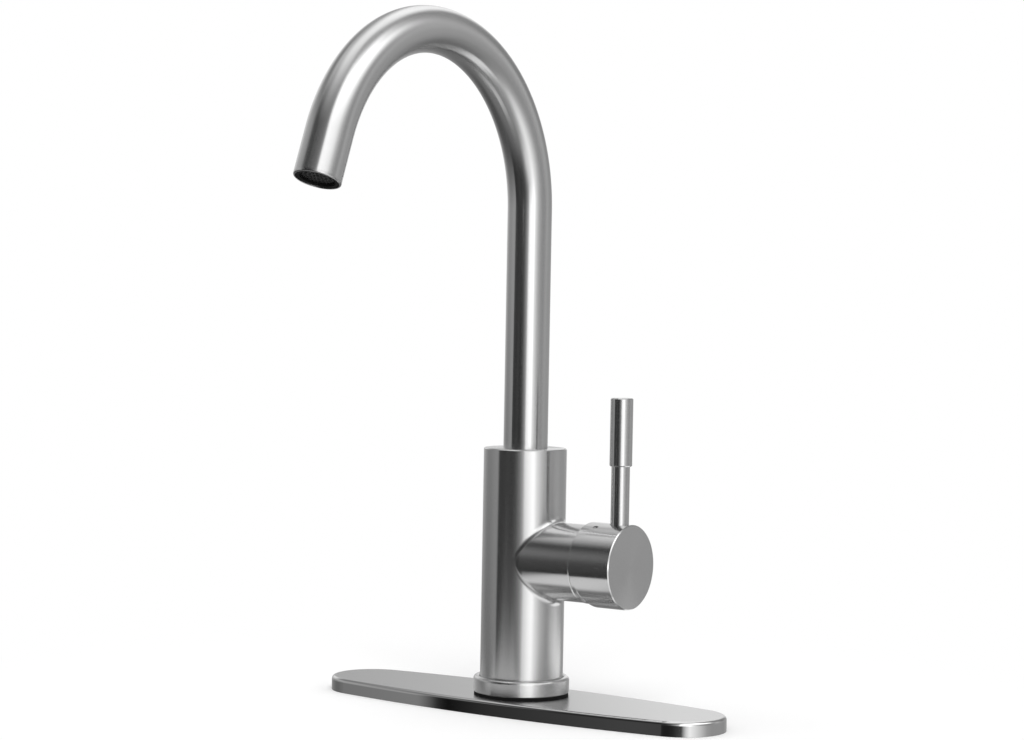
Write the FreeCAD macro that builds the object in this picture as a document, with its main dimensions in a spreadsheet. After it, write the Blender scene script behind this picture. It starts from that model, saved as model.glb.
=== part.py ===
"""Gooseneck bar faucet with side lever and deck plate.

Frame: millimetres, +Z up, origin on the body's axis in the plane of the sink deck.
The handle points along +X and the spout reaches out along -Y.
"""
import FreeCAD
import Part
import Sketcher

import math
import os

# Driving dimensions in millimetres and degrees: name, value, what it is.
DIMENSIONS = [
    # deck plate
    ("plate_length", 250.0, "cover plate, end to end"),
    ("plate_width", 64.4, "cover plate, front to back in the middle"),
    ("plate_end_radius", 24.5, "radius of the two ends"),
    ("plate_rise", 7.8, "top of the cover plate above the deck"),
    ("plate_wall", 1.2, "sheet thickness of the cover plate"),
    ("plate_edge_radius", 2.0, "rolled top edge of the cover plate"),
    ("plate_hole_radius", 18.0, "middle hole of the cover plate"),
    ("seat_play", 0.2, "play between stacked or nested fixed pieces"),
    ("gasket_inset", 4.0, "foam gasket, in from the plastic plate's edge"),
    ("gasket_band", 4.0, "width of the foam gasket"),
    ("gasket_thickness", 1.5, "foam gasket"),
    ("cell_length", 19.0, "rib cells in the plastic plate, along X"),
    ("cell_width", 30.0, "rib cells in the plastic plate, along Y"),
    ("cell_pitch", 21.5, "spacing of the rib cells"),
    ("cell_taper", 0.6, "narrowing of the rib cells, growing with the square of their number"),
    ("cell_start", 33.0, "middle of the first rib cell from the axis"),
    ("cell_roof", 2.2, "plastic left above the rib cells"),
    # flange ring and its rubber ring
    ("seal_radius", 25.6, "rubber ring under the flange ring"),
    ("seal_thickness", 1.6, "rubber ring under the flange ring"),
    ("ring_radius", 26.0, "flange ring"),
    ("ring_height", 8.7, "flange ring"),
    ("ring_floor", 2.6, "floor of the flange ring under the body"),
    ("ring_gap", 0.4, "open line between body and flange ring"),
    ("ring_edge_radius", 1.8, "rounded top edge of the flange ring"),
    # body and side housing
    ("body_radius", 22.5, "upright body"),
    ("handle_height", 81.7, "handle axis above the deck"),
    ("housing_radius", 20.8, "side housing of the valve"),
    ("housing_end", 43.0, "end of the side housing from the body's axis"),
    ("housing_blend", 3.5, "fillet between body and side housing"),
    ("edge_break", 0.5, "chamfer on turned outer edges"),
    ("chamber_radius", 13.5, "hose chamber and bore of the shank"),
    ("chamber_top", 52.0, "top of the hose chamber above the deck"),
    ("shank_radius", 16.0, "threaded shank, over the thread"),
    ("shank_grip", 25.0, "shank thread inside the body"),
    ("inlet_offset", 7.0, "hot and cold inlets, from the body's axis along Y"),
    ("inlet_radius", 4.5, "inlets' thread"),
    ("inlet_depth", 12.0, "inlets' thread"),
    ("inlet_way_radius", 3.0, "drilled ways behind the inlets"),
    ("outlet_way_radius", 4.0, "drilled way up to the spout"),
    # spout joint
    ("spout_radius", 12.0, "spout tube, outside"),
    ("tube_wall", 1.5, "spout tube"),
    ("spout_fit", 0.06, "radial running clearance of the spout in the body"),
    ("socket_rise", 22.3, "spout socket's floor above the handle's axis"),
    ("socket_depth", 37.5, "spout socket below the body's top"),
    ("stem_foot_gap", 0.3, "spout stem above the socket's floor"),
    ("tube_insertion", 11.5, "spout tube inside the body"),
    ("stem_spigot", 12.0, "spout stem inside the tube"),
    ("stem_bore_radius", 8.0, "water bore of the spout stem"),
    ("lock_groove_radius", 10.2, "floor of the groove for the lock screw"),
    ("lock_groove_width", 4.0, "groove for the lock screw"),
    ("lock_drop", 17.0, "middle of the lock groove below the body's top"),
    ("lock_screw_radius", 2.5, "lock screw's thread"),
    ("lock_point_radius", 1.6, "lock screw's point"),
    ("lock_point_length", 2.0, "lock screw's point"),
    ("lock_point_gap", 0.5, "lock screw's point above the groove's floor"),
    ("lock_screw_length", 9.0, "lock screw's threaded part"),
    ("lock_key_radius", 1.3, "lock screw's hexagon socket, across corners"),
    ("clamp_key_radius", 0.9, "clamp screw's hexagon socket, across corners"),
    ("hex_key_depth", 2.5, "hexagon sockets of the grub screws"),
    ("o_ring_cord", 1.0, "radius of the O-rings' section"),
    ("o_ring_groove_width", 2.4, "grooves of the O-rings"),
    ("o_ring_low", 7.0, "lower O-ring above the stem's foot"),
    ("o_ring_high", 13.0, "upper O-ring above the stem's foot"),
    ("glide_low", 1.2, "glide ring above the stem's foot"),
    ("glide_width", 3.0, "glide ring"),
    ("glide_thickness", 1.2, "glide ring"),
    # gooseneck
    ("arc_radius", 88.5, "gooseneck's middle line"),
    ("arc_height", 270.0, "centre of the gooseneck's arc above the deck"),
    ("tip_lean", 20.5, "lean of the spout's tip from the vertical, degrees"),
    ("tip_length", 25.0, "straight tip after the arc"),
    ("tip_edge_radius", 0.6, "rounded lip of the tip"),
    # aerator, measured from the lip into the tube
    ("aerator_recess", 1.0, "housing set back from the lip"),
    ("aerator_fit", 0.05, "housing's radial clearance in the tube"),
    ("aerator_height", 8.0, "housing"),
    ("aerator_wall", 1.0, "housing"),
    ("aerator_lip", 0.8, "inward lip at the housing's mouth"),
    ("screen_thickness", 0.6, "outlet grid"),
    ("screen_hole_radius", 0.75, "holes of the outlet grid"),
    ("screen_ring_pitch", 2.1, "spacing of the grid's rings of holes"),
    ("core_thickness", 4.5, "flow straightener"),
    ("core_hole_radius", 1.0, "holes of the flow straightener"),
    ("core_ring_pitch", 3.2, "spacing of the straightener's rings of holes"),
    ("aerator_seal_thickness", 1.8, "flat rubber ring"),
    ("aerator_seat_radius", 8.0, "bore of the seat ring"),
    ("aerator_seat_height", 4.0, "seat ring"),
    # hardware under the deck
    ("deck_thickness", 20.0, "sink deck that the hardware is set for"),
    ("shank_end", 60.0, "shank below the deck's top"),
    ("washer_radius", 25.0, "rubber and steel washers"),
    ("washer_play", 0.2, "washers' radial play on the shank"),
    ("clamp_gasket_thickness", 3.0, "rubber washer"),
    ("clamp_washer_thickness", 2.0, "steel washer"),
    ("nut_flats", 41.0, "mounting nut across flats"),
    ("nut_height", 9.0, "mounting nut"),
    # cartridge, along the handle's axis from the body's axis
    ("cartridge_floor", 21.5, "floor of the cartridge's seat in the body"),
    ("cartridge_radius", 17.5, "cartridge"),
    ("cartridge_play", 0.1, "cartridge's radial play in its seat"),
    ("cartridge_base_height", 3.0, "plastic floor of the cartridge"),
    ("port_seal_radius", 5.0, "rubber rings at the ports"),
    ("port_seal_thickness", 1.2, "rubber rings at the ports"),
    ("inlet_port_drop", 5.0, "inlet ports below the handle's axis"),
    ("outlet_port_rise", 8.5, "outlet port above the handle's axis"),
    ("fixed_disc_thickness", 3.5, "fixed ceramic disc"),
    ("moving_disc_thickness", 3.0, "moving ceramic disc"),
    ("fixed_disc_radius", 13.8, "fixed ceramic disc"),
    ("moving_disc_radius", 11.0, "moving ceramic disc"),
    ("disc_film", 0.02, "water film between the discs"),
    ("mixing_radius", 8.0, "mixing pocket of the moving disc"),
    ("mixing_depth", 1.6, "mixing pocket of the moving disc"),
    ("driver_thickness", 2.8, "disc driver"),
    ("ball_radius", 2.0, "stem's ball"),
    ("ball_fit", 0.1, "radial clearance of the ball in its socket"),
    ("cup_radius", 15.0, "inside of the cartridge's cup"),
    ("cup_end", 37.5, "cartridge's shoulder from the body's axis"),
    ("cup_roof", 2.0, "cartridge's shoulder"),
    ("neck_radius", 13.0, "cartridge's neck"),
    ("neck_end", 47.0, "end of the neck from the body's axis"),
    ("carrier_radius", 10.5, "bore of the neck for the stem carrier"),
    ("carrier_fit", 0.06, "radial running clearance of the stem carrier"),
    ("carrier_flange_radius", 13.0, "stem carrier's flange in the cup"),
    ("carrier_flange_height", 1.3, "stem carrier's flange in the cup"),
    ("carrier_end_gap", 0.1, "stem carrier's end play"),
    ("pivot_reach", 44.5, "lever pin from the body's axis"),
    ("pin_radius", 1.5, "lever pin"),
    ("pin_fit", 0.05, "radial running clearance of the stem on the pin"),
    ("pin_length", 20.0, "lever pin"),
    ("slot_above", 7.4, "stem carrier's slot above the axis"),
    ("slot_below", 5.4, "stem carrier's slot below the axis"),
    ("slot_play", 0.1, "stem's play in the slot, each side"),
    ("nut_thread_radius", 18.5, "retaining nut's thread"),
    ("nut_nose_radius", 16.0, "retaining nut's nose"),
    ("nut_nose_end", 46.0, "end of the nose from the body's axis"),
    ("neck_play", 0.2, "radial play round the cartridge's neck"),
    ("bonnet_radius", 21.0, "domed cap at its widest"),
    ("bonnet_gap", 0.6, "open line between side housing and cap"),
    ("bonnet_rim", 2.4, "rim of the cap, up to its shoulder"),
    ("bonnet_edge_round", 0.8, "rounding of the cap's shoulder"),
    ("bonnet_end", 47.4, "end of the cap from the body's axis"),
    ("bonnet_nose_radius", 14.6, "flat front of the domed cap"),
    # handle
    ("hub_radius", 22.5, "handle head"),
    ("hub_gap", 0.6, "open line between side housing and handle head"),
    ("hub_face", 69.0, "handle head's face from the body's axis"),
    ("hub_wall", 1.0, "wall of the handle head's hollow"),
    ("hub_floor", 53.0, "floor of the hollow from the body's axis"),
    ("hub_boss_radius", 7.0, "boss round the stem in the hollow"),
    ("hub_boss_start", 50.5, "start of the boss from the body's axis"),
    ("relief_drop", 1.0, "start of the slanted relief below the axis"),
    ("relief_slant", 19.0, "slant of the relief, degrees"),
    ("stem_width", 8.0, "stem's square"),
    ("stem_arm_radius", 3.0, "stem's arm between pin and ball"),
    ("stem_neck_radius", 1.6, "stem's neck above the ball"),
    ("stem_neck_end", 35.8, "end of the neck from the body's axis"),
    ("stem_end", 60.0, "stem's outer end from the body's axis"),
    ("stem_shoulder", 41.5, "start of the stem's square from the body's axis"),
    ("ball_reach", 33.2, "ball's centre from the body's axis"),
    ("clamp_reach", 51.7, "clamp screw from the body's axis"),
    ("clamp_turn", 22.0, "clamp screw from the vertical to the front, degrees"),
    ("clamp_screw_radius", 1.5, "clamp screw's thread"),
    ("clamp_screw_length", 16.5, "clamp screw"),
    ("clamp_screw_seat", 5.15, "clamp screw's point from the handle's axis"),
    ("clamp_boss_radius", 3.3, "boss round the clamp screw in the hollow"),
    ("lever_reach", 61.3, "lever from the body's axis"),
    ("lever_stud_radius", 4.0, "lever's stud"),
    ("lever_stud_foot", 11.0, "foot of the stud above the handle's axis"),
    ("lever_seat", 21.4, "lever's shoulder above the handle's axis"),
    ("lever_play", 0.15, "lever's radial play in its spot face"),
    ("rod_radius", 4.9, "lever's rod"),
    ("grip_radius", 6.0, "lever's grip"),
    ("grip_start", 134.8, "grip's lower end above the deck"),
    ("grip_end", 170.8, "grip's upper end above the deck"),
    ("grip_spigot_radius", 3.0, "rod's spigot in the grip"),
    ("grip_spigot_length", 14.0, "rod's spigot in the grip"),
]

FULL_TURN = 360.0
HEXAGON_SIDES = 6
SCREEN_RINGS = 4
CORE_RINGS = 2
HOLES_PER_RING = 6
CELLS_EACH_SIDE = 4
BLEND_TOLERANCE = 0.01


class Size:
    """A length or angle, kept both as a number and as the sheet expression that gives it."""

    def __init__(self, value, text):
        self.value = float(value)
        self.text = text

    def __add__(self, other):
        other = as_size(other)
        return Size(self.value + other.value, f"({self.text} + {other.text})")

    def __radd__(self, other):
        return as_size(other) + self

    def __sub__(self, other):
        other = as_size(other)
        return Size(self.value - other.value, f"({self.text} - {other.text})")

    def __rsub__(self, other):
        return as_size(other) - self

    def __mul__(self, other):
        other = as_size(other)
        return Size(self.value * other.value, f"({self.text} * {other.text})")

    def __rmul__(self, other):
        return as_size(other) * self

    def __truediv__(self, other):
        other = as_size(other)
        return Size(self.value / other.value, f"({self.text} / {other.text})")

    def __neg__(self):
        return Size(-self.value, f"(-{self.text})")


def as_size(number):
    if isinstance(number, Size):
        return number
    return Size(number, repr(float(number)))


def sine(angle):
    return Size(math.sin(math.radians(angle.value)), f"sin({angle.text} * 1 deg)")


def cosine(angle):
    return Size(math.cos(math.radians(angle.value)), f"cos({angle.text} * 1 deg)")


def tangent(angle):
    return sine(angle) / cosine(angle)


doc = FreeCAD.newDocument("gooseneck_faucet")
sheet = doc.addObject("Spreadsheet::Sheet", "Sizes")


def fill_sheet():
    """Write the driving dimensions into the sheet and hand them back by name."""
    sizes = {}
    for row, (name, value, note) in enumerate(DIMENSIONS, start=1):
        sheet.set(f"A{row}", name)
        sheet.set(f"B{row}", str(value))
        sheet.setAlias(f"B{row}", name)
        sheet.set(f"C{row}", note)
        sizes[name] = Size(value, f"Sizes.{name}")
    doc.recompute()
    return sizes


D = fill_sheet()
bodies = []

# The handle's own frame: its Z runs along +X of the faucet, its X points up, its Y to the front.
HANDLE_TURN = FreeCAD.Rotation(FreeCAD.Vector(1, 0, 1), 180)


def bind(obj, prop, size):
    obj.setExpression(prop, as_size(size).text)


def new_body(label):
    body = doc.addObject("PartDesign::Body", label)
    body.Label = label
    bodies.append(body)
    return body


def place(body, x=0.0, y=0.0, z=0.0, turn=None):
    """Put a finished body at its seat; the offsets stay bound to the sheet."""
    base = [as_size(offset) for offset in (x, y, z)]
    rotation = turn or FreeCAD.Rotation()
    body.Placement = FreeCAD.Placement(FreeCAD.Vector(*[b.value for b in base]), rotation)
    for axis, offset in zip("xyz", base):
        bind(body, f"Placement.Base.{axis}", offset)


def place_on_handle_axis(body):
    place(body, z=D["handle_height"], turn=HANDLE_TURN)


def sketch_on(body, name, role, lift=0.0):
    """A sketch on one of the body's own origin planes, lifted along the plane's normal."""
    sketch = body.newObject("Sketcher::SketchObject", name)
    plane = next(f for f in body.Origin.OriginFeatures if f.Role == role)
    sketch.AttachmentSupport = (plane, [""])
    sketch.MapMode = "FlatFace"
    lift = as_size(lift)
    sketch.AttachmentOffset = FreeCAD.Placement(FreeCAD.Vector(0, 0, lift.value), FreeCAD.Rotation())
    bind(sketch, "AttachmentOffset.Base.z", lift)
    return sketch


def pin_point(sketch, item, end, x, y):
    """Fix a point of the sketch at sizes x, y from the sketch's origin."""
    for axis, offset in (("X", as_size(x)), ("Y", as_size(y))):
        if offset.text == "0.0":
            line = -2 if axis == "X" else -1
            sketch.addConstraint(Sketcher.Constraint("PointOnObject", item, end, line))
            continue
        rule = Sketcher.Constraint(f"Distance{axis}", -1, 1, item, end, offset.value)
        index = sketch.addConstraint(rule)
        bind(sketch, f"Constraints[{index}]", offset)


def add_circle(sketch, x, y, radius):
    x, y, radius = as_size(x), as_size(y), as_size(radius)
    centre = FreeCAD.Vector(x.value, y.value, 0)
    item = sketch.addGeometry(Part.Circle(centre, FreeCAD.Vector(0, 0, 1), radius.value), False)
    pin_point(sketch, item, 3, x, y)
    index = sketch.addConstraint(Sketcher.Constraint("Radius", item, radius.value))
    bind(sketch, f"Constraints[{index}]", radius)


def add_polygon(sketch, corners):
    """A closed outline of straight lines through the given corners."""
    corners = [(as_size(x), as_size(y)) for x, y in corners]
    points = [FreeCAD.Vector(x.value, y.value, 0) for x, y in corners]
    ends = points[1:] + points[:1]
    lines = [sketch.addGeometry(Part.LineSegment(a, b), False) for a, b in zip(points, ends)]
    for line, following in zip(lines, lines[1:] + lines[:1]):
        sketch.addConstraint(Sketcher.Constraint("Coincident", line, 2, following, 1))
    for line, (x, y) in zip(lines, corners):
        pin_point(sketch, line, 1, x, y)


def rectangle(x_low, y_low, x_high, y_high):
    return [(x_low, y_low), (x_high, y_low), (x_high, y_high), (x_low, y_high)]


def turned(label, corners):
    """A body of revolution about its own Z from (radius, height) corners."""
    body = new_body(label)
    sketch = sketch_on(body, f"{label}_profile", "XZ_Plane")
    add_polygon(sketch, corners)
    feature = body.newObject("PartDesign::Revolution", f"{label}_turned")
    feature.Profile = sketch
    feature.ReferenceAxis = (sketch, ["V_Axis"])
    feature.Angle = FULL_TURN
    doc.recompute()
    return body


def padded(body, name, sketch, length):
    feature = body.newObject("PartDesign::Pad", name)
    feature.Profile = sketch
    bind(feature, "Length", length)
    doc.recompute()
    return feature


def cut(body, name, sketch, length):
    """Cut from the sketch's plane along its normal, and make sure that it took something away."""
    before = body.Shape.Volume
    feature = body.newObject("PartDesign::Pocket", name)
    feature.Profile = sketch
    feature.Reversed = True
    bind(feature, "Length", length)
    doc.recompute()
    if not body.Shape.Volume < before:
        raise RuntimeError(f"{name} removed nothing from {body.Label}")
    return feature


def drill(body, name, role, x, y, radius, start, end):
    """A round hole between two heights above one of the body's origin planes."""
    sketch = sketch_on(body, f"{name}_circle", role, start)
    add_circle(sketch, x, y, radius)
    return cut(body, name, sketch, as_size(end) - start)


def edges_where(feature, wanted):
    edges = feature.Shape.Edges
    return [f"Edge{i}" for i, edge in enumerate(edges, start=1) if wanted(edge)]


def is_circle(edge, radius, height):
    """Whether an edge is a circle about the body's Z with this radius and height."""
    curve = edge.Curve
    if not isinstance(curve, Part.Circle):
        return False
    same_radius = abs(curve.Radius - as_size(radius).value) < BLEND_TOLERANCE
    same_height = abs(curve.Center.z - as_size(height).value) < BLEND_TOLERANCE
    on_axis = math.hypot(curve.Center.x, curve.Center.y) < BLEND_TOLERANCE
    return same_radius and same_height and on_axis


def round_edges(body, name, wanted, radius):
    base = body.Tip
    feature = body.newObject("PartDesign::Fillet", name)
    feature.Base = (base, edges_where(base, wanted))
    bind(feature, "Radius", radius)
    doc.recompute()
    return feature


def chamfer_edges(body, name, wanted, size):
    base = body.Tip
    feature = body.newObject("PartDesign::Chamfer", name)
    feature.Base = (base, edges_where(base, wanted))
    bind(feature, "Size", size)
    doc.recompute()
    return feature


def ring_of_holes(body, name, role, ring_radius, hole_radius, start, end, count):
    """Holes evenly spaced on a circle about the body's Z."""
    hole = drill(body, name, role, ring_radius, 0.0, hole_radius, start, end)
    pattern = body.newObject("PartDesign::PolarPattern", f"{name}_round")
    pattern.Originals = [hole]
    pattern.Axis = (hole.Profile[0], ["N_Axis"])
    pattern.Angle = FULL_TURN
    pattern.Occurrences = count
    body.Tip = pattern
    doc.recompute()


# ---------------------------------------------------------------- deck plate

def plate_outline(sketch, inset):
    """The plate's outline, set in by a distance: two round ends and two bowed sides, all tangent."""
    end_radius = D["plate_end_radius"] - inset
    end_centre = D["plate_length"] / 2 - D["plate_end_radius"]
    rise = D["plate_width"] / 2 - D["plate_end_radius"]
    between_centres = (end_centre * end_centre + rise * rise) / (2 * rise)
    side_radius = between_centres + end_radius
    drop = (between_centres - rise).value
    ends = end_centre.value
    meeting = math.atan2(drop, ends)

    def arc(x, y, radius, first, last):
        circle = Part.Circle(FreeCAD.Vector(x, y, 0), FreeCAD.Vector(0, 0, 1), radius.value)
        item = sketch.addGeometry(Part.ArcOfCircle(circle, first, last), False)
        index = sketch.addConstraint(Sketcher.Constraint("Radius", item, radius.value))
        bind(sketch, f"Constraints[{index}]", radius)
        return item

    right = arc(ends, 0, end_radius, -meeting, meeting)
    back = arc(0, -drop, side_radius, meeting, math.pi - meeting)
    left = arc(-ends, 0, end_radius, math.pi - meeting, math.pi + meeting)
    front = arc(0, drop, side_radius, math.pi + meeting, 2 * math.pi - meeting)
    for item, following in ((right, back), (back, left), (left, front), (front, right)):
        sketch.addConstraint(Sketcher.Constraint("Tangent", item, 2, following, 1))
    pin_point(sketch, right, 3, end_centre, 0.0)
    pin_point(sketch, left, 3, -end_centre, 0.0)


def plate_inside():
    """How far the plastic plate's edge lies inside the cover plate's edge."""
    return D["plate_wall"] + D["seat_play"]


def make_deck_plate():
    body = new_body("deck_plate")
    outline = sketch_on(body, "plate_outline", "XY_Plane")
    plate_outline(outline, as_size(0.0))
    padded(body, "plate_blank", outline, D["plate_rise"])
    top = D["plate_rise"].value

    def on_top(edge):
        return all(abs(v.Point.z - top) < BLEND_TOLERANCE for v in edge.Vertexes)

    round_edges(body, "plate_rolled_edge", on_top, D["plate_edge_radius"])
    inside = sketch_on(body, "plate_inside", "XY_Plane")
    plate_outline(inside, D["plate_wall"])
    cut(body, "plate_hollow", inside, D["plate_rise"] - D["plate_wall"])
    drill(body, "plate_hole", "XY_Plane", 0.0, 0.0, D["plate_hole_radius"], 0.0, D["plate_rise"])


def make_deck_plate_base():
    body = new_body("deck_plate_base")
    rise = D["plate_rise"] - D["plate_wall"]
    outline = sketch_on(body, "base_outline", "XY_Plane")
    plate_outline(outline, plate_inside())
    padded(body, "base_blank", outline, rise)
    groove = sketch_on(body, "gasket_groove_outline", "XY_Plane")
    plate_outline(groove, plate_inside() + D["gasket_inset"])
    plate_outline(groove, plate_inside() + D["gasket_inset"] + D["gasket_band"])
    cut(body, "gasket_groove", groove, D["gasket_thickness"])
    drill(body, "base_hole", "XY_Plane", 0.0, 0.0, D["plate_hole_radius"], 0.0, rise)
    half_width = D["cell_width"] / 2
    for side in (-1, 1):
        cells = sketch_on(body, f"cells_{'left' if side < 0 else 'right'}", "XY_Plane")
        for number in range(CELLS_EACH_SIDE):
            middle = side * (D["cell_start"] + number * D["cell_pitch"])
            low = middle - D["cell_length"] / 2
            high = middle + D["cell_length"] / 2
            width = half_width - number * number * D["cell_taper"]
            add_polygon(cells, rectangle(low, -width, high, width))
        cut(body, f"{cells.Name}_cut", cells, rise - D["cell_roof"])


def make_deck_gasket():
    body = new_body("deck_gasket")
    outline = sketch_on(body, "gasket_outline", "XY_Plane")
    plate_outline(outline, plate_inside() + D["gasket_inset"])
    plate_outline(outline, plate_inside() + D["gasket_inset"] + D["gasket_band"])
    padded(body, "gasket_pad", outline, D["gasket_thickness"])


# ------------------------------------------------- flange ring, body, shank

def ring_foot():
    """Height of the flange ring's underside above the deck."""
    return D["plate_rise"] + D["seal_thickness"]


def body_foot():
    """Height of the body's lower end above the deck."""
    return ring_foot() + D["ring_floor"]


def ring_bore():
    return D["shank_radius"] + D["washer_play"]


def make_base_seal():
    turned("base_seal", rectangle(ring_bore(), D["plate_rise"], D["seal_radius"], ring_foot()))


def make_base_ring():
    top = ring_foot() + D["ring_height"]
    recess = D["body_radius"] + D["ring_gap"]
    body = turned("base_ring", [
        (ring_bore(), ring_foot()),
        (D["ring_radius"], ring_foot()),
        (D["ring_radius"], top),
        (recess, top),
        (recess, body_foot()),
        (ring_bore(), body_foot()),
    ])
    outer = D["ring_radius"]
    round_edges(body, "ring_rounded", lambda e: is_circle(e, outer, top), D["ring_edge_radius"])
    chamfer_edges(body, "ring_inner_edge", lambda e: is_circle(e, recess, top), D["edge_break"])
    chamfer_edges(body, "ring_lower_edge", lambda e: is_circle(e, outer, ring_foot()), D["edge_break"])


def socket_floor():
    return D["handle_height"] + D["socket_rise"]


def body_top():
    return socket_floor() + D["socket_depth"]


def stem_foot():
    return socket_floor() + D["stem_foot_gap"]


def lock_height():
    return body_top() - D["lock_drop"]


def make_faucet_body():
    body = new_body("faucet_body")
    upright = sketch_on(body, "upright_circle", "XY_Plane", body_foot())
    add_circle(upright, 0.0, 0.0, D["body_radius"])
    padded(body, "upright", upright, body_top() - body_foot())
    housing = sketch_on(body, "housing_circle", "YZ_Plane")
    add_circle(housing, 0.0, D["handle_height"], D["housing_radius"])
    padded(body, "side_housing", housing, D["housing_end"])

    def joins_housing(edge):
        box = edge.BoundBox
        radius = D["housing_radius"].value
        on_body = box.XMax < D["body_radius"].value + BLEND_TOLERANCE
        return on_body and box.YLength > radius and box.ZLength > radius

    round_edges(body, "housing_blend", joins_housing, D["housing_blend"])
    chamfer_edges(body, "top_edge", lambda e: is_circle(e, D["body_radius"], body_top()), D["edge_break"])

    def rims_housing(edge):
        return abs(edge.BoundBox.XMin - D["housing_end"].value) < BLEND_TOLERANCE

    chamfer_edges(body, "housing_edge", rims_housing, D["edge_break"])
    socket_radius = D["spout_radius"] + D["spout_fit"]
    drill(body, "spout_socket", "XY_Plane", 0.0, 0.0, socket_radius, socket_floor(), body_top())
    drill(body, "shank_thread", "XY_Plane", 0.0, 0.0, D["shank_radius"],
          body_foot(), body_foot() + D["shank_grip"])
    drill(body, "hose_chamber", "XY_Plane", 0.0, 0.0, D["chamber_radius"],
          body_foot() + D["shank_grip"], D["chamber_top"])
    drill(body, "cartridge_seat", "YZ_Plane", 0.0, D["handle_height"],
          D["cartridge_radius"] + D["cartridge_play"], D["cartridge_floor"], D["housing_end"])
    drill(body, "nut_thread", "YZ_Plane", 0.0, D["handle_height"],
          D["nut_thread_radius"], D["cup_end"], D["housing_end"])
    inlet_level = D["handle_height"] - D["inlet_port_drop"]
    outlet_level = D["handle_height"] + D["outlet_port_rise"]
    for name, y in (("cold", -D["inlet_offset"]), ("hot", D["inlet_offset"])):
        drill(body, f"{name}_inlet", "XY_Plane", 0.0, y, D["inlet_radius"],
              D["chamber_top"], D["chamber_top"] + D["inlet_depth"])
        drill(body, f"{name}_way", "XY_Plane", 0.0, y, D["inlet_way_radius"],
              D["chamber_top"] + D["inlet_depth"], inlet_level)
        drill(body, f"{name}_port", "YZ_Plane", y, inlet_level, D["inlet_way_radius"],
              0.0, D["cartridge_floor"])
    drill(body, "outlet_way", "XY_Plane", 0.0, 0.0, D["outlet_way_radius"],
          outlet_level, socket_floor())
    drill(body, "outlet_port", "YZ_Plane", 0.0, outlet_level, D["outlet_way_radius"],
          0.0, D["cartridge_floor"])
    screw = sketch_on(body, "lock_screw_circle", "XZ_Plane")
    add_circle(screw, 0.0, lock_height(), D["lock_screw_radius"])
    before = body.Shape.Volume
    hole = body.newObject("PartDesign::Pocket", "lock_screw_hole")
    hole.Profile = screw
    hole.Reversed = False
    bind(hole, "Length", D["body_radius"])
    doc.recompute()
    if not body.Shape.Volume < before:
        raise RuntimeError("the lock screw's hole removed nothing")


def hexagon(sketch, across_corners_radius):
    """A regular hexagon about the sketch's origin."""
    radius = across_corners_radius
    sixth = as_size(FULL_TURN / HEXAGON_SIDES)
    x, y = radius * cosine(sixth), radius * sine(sixth)
    add_polygon(sketch, [(radius, 0.0), (x, y), (-x, y), (-radius, 0.0), (-x, -y), (x, -y)])


def add_hex_socket(body, name, top, radius):
    sketch = sketch_on(body, f"{name}_outline", "XY_Plane", top - D["hex_key_depth"])
    hexagon(sketch, radius)
    cut(body, name, sketch, D["hex_key_depth"])


def make_lock_screw():
    start = D["lock_groove_radius"] + D["lock_point_gap"]
    shoulder = start + D["lock_point_length"]
    top = shoulder + D["lock_screw_length"]
    body = turned("spout_lock_screw", [
        (0.0, start),
        (D["lock_point_radius"], start),
        (D["lock_point_radius"], shoulder),
        (D["lock_screw_radius"], shoulder),
        (D["lock_screw_radius"], top),
        (0.0, top),
    ])
    add_hex_socket(body, "lock_screw_socket", top, D["lock_key_radius"])
    place(body, z=lock_height(), turn=FreeCAD.Rotation(FreeCAD.Vector(1, 0, 0), -90))


def make_mounting_shank():
    end = -D["shank_end"]
    top = body_foot() + D["shank_grip"]
    body = turned("mounting_shank", rectangle(D["chamber_radius"], end, D["shank_radius"], top))
    chamfer_edges(body, "shank_lead", lambda e: is_circle(e, D["shank_radius"], end), D["edge_break"])


def make_clamp_set():
    """Rubber washer, steel washer and nut under the deck."""
    bore = D["shank_radius"] + D["washer_play"]
    gasket_top = -D["deck_thickness"]
    washer_top = gasket_top - D["clamp_gasket_thickness"]
    nut_top = washer_top - D["clamp_washer_thickness"]
    turned("clamp_gasket", rectangle(bore, washer_top, D["washer_radius"], gasket_top))
    turned("clamp_washer", rectangle(bore, nut_top, D["washer_radius"], washer_top))
    nut = new_body("mounting_nut")
    outline = sketch_on(nut, "nut_outline", "XY_Plane", nut_top - D["nut_height"])
    half_side = as_size(FULL_TURN / HEXAGON_SIDES / 2)
    hexagon(outline, D["nut_flats"] / (2 * cosine(half_side)))
    add_circle(outline, 0.0, 0.0, D["shank_radius"])
    padded(nut, "nut_blank", outline, D["nut_height"])


# ------------------------------------------------------------------- spout

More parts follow.
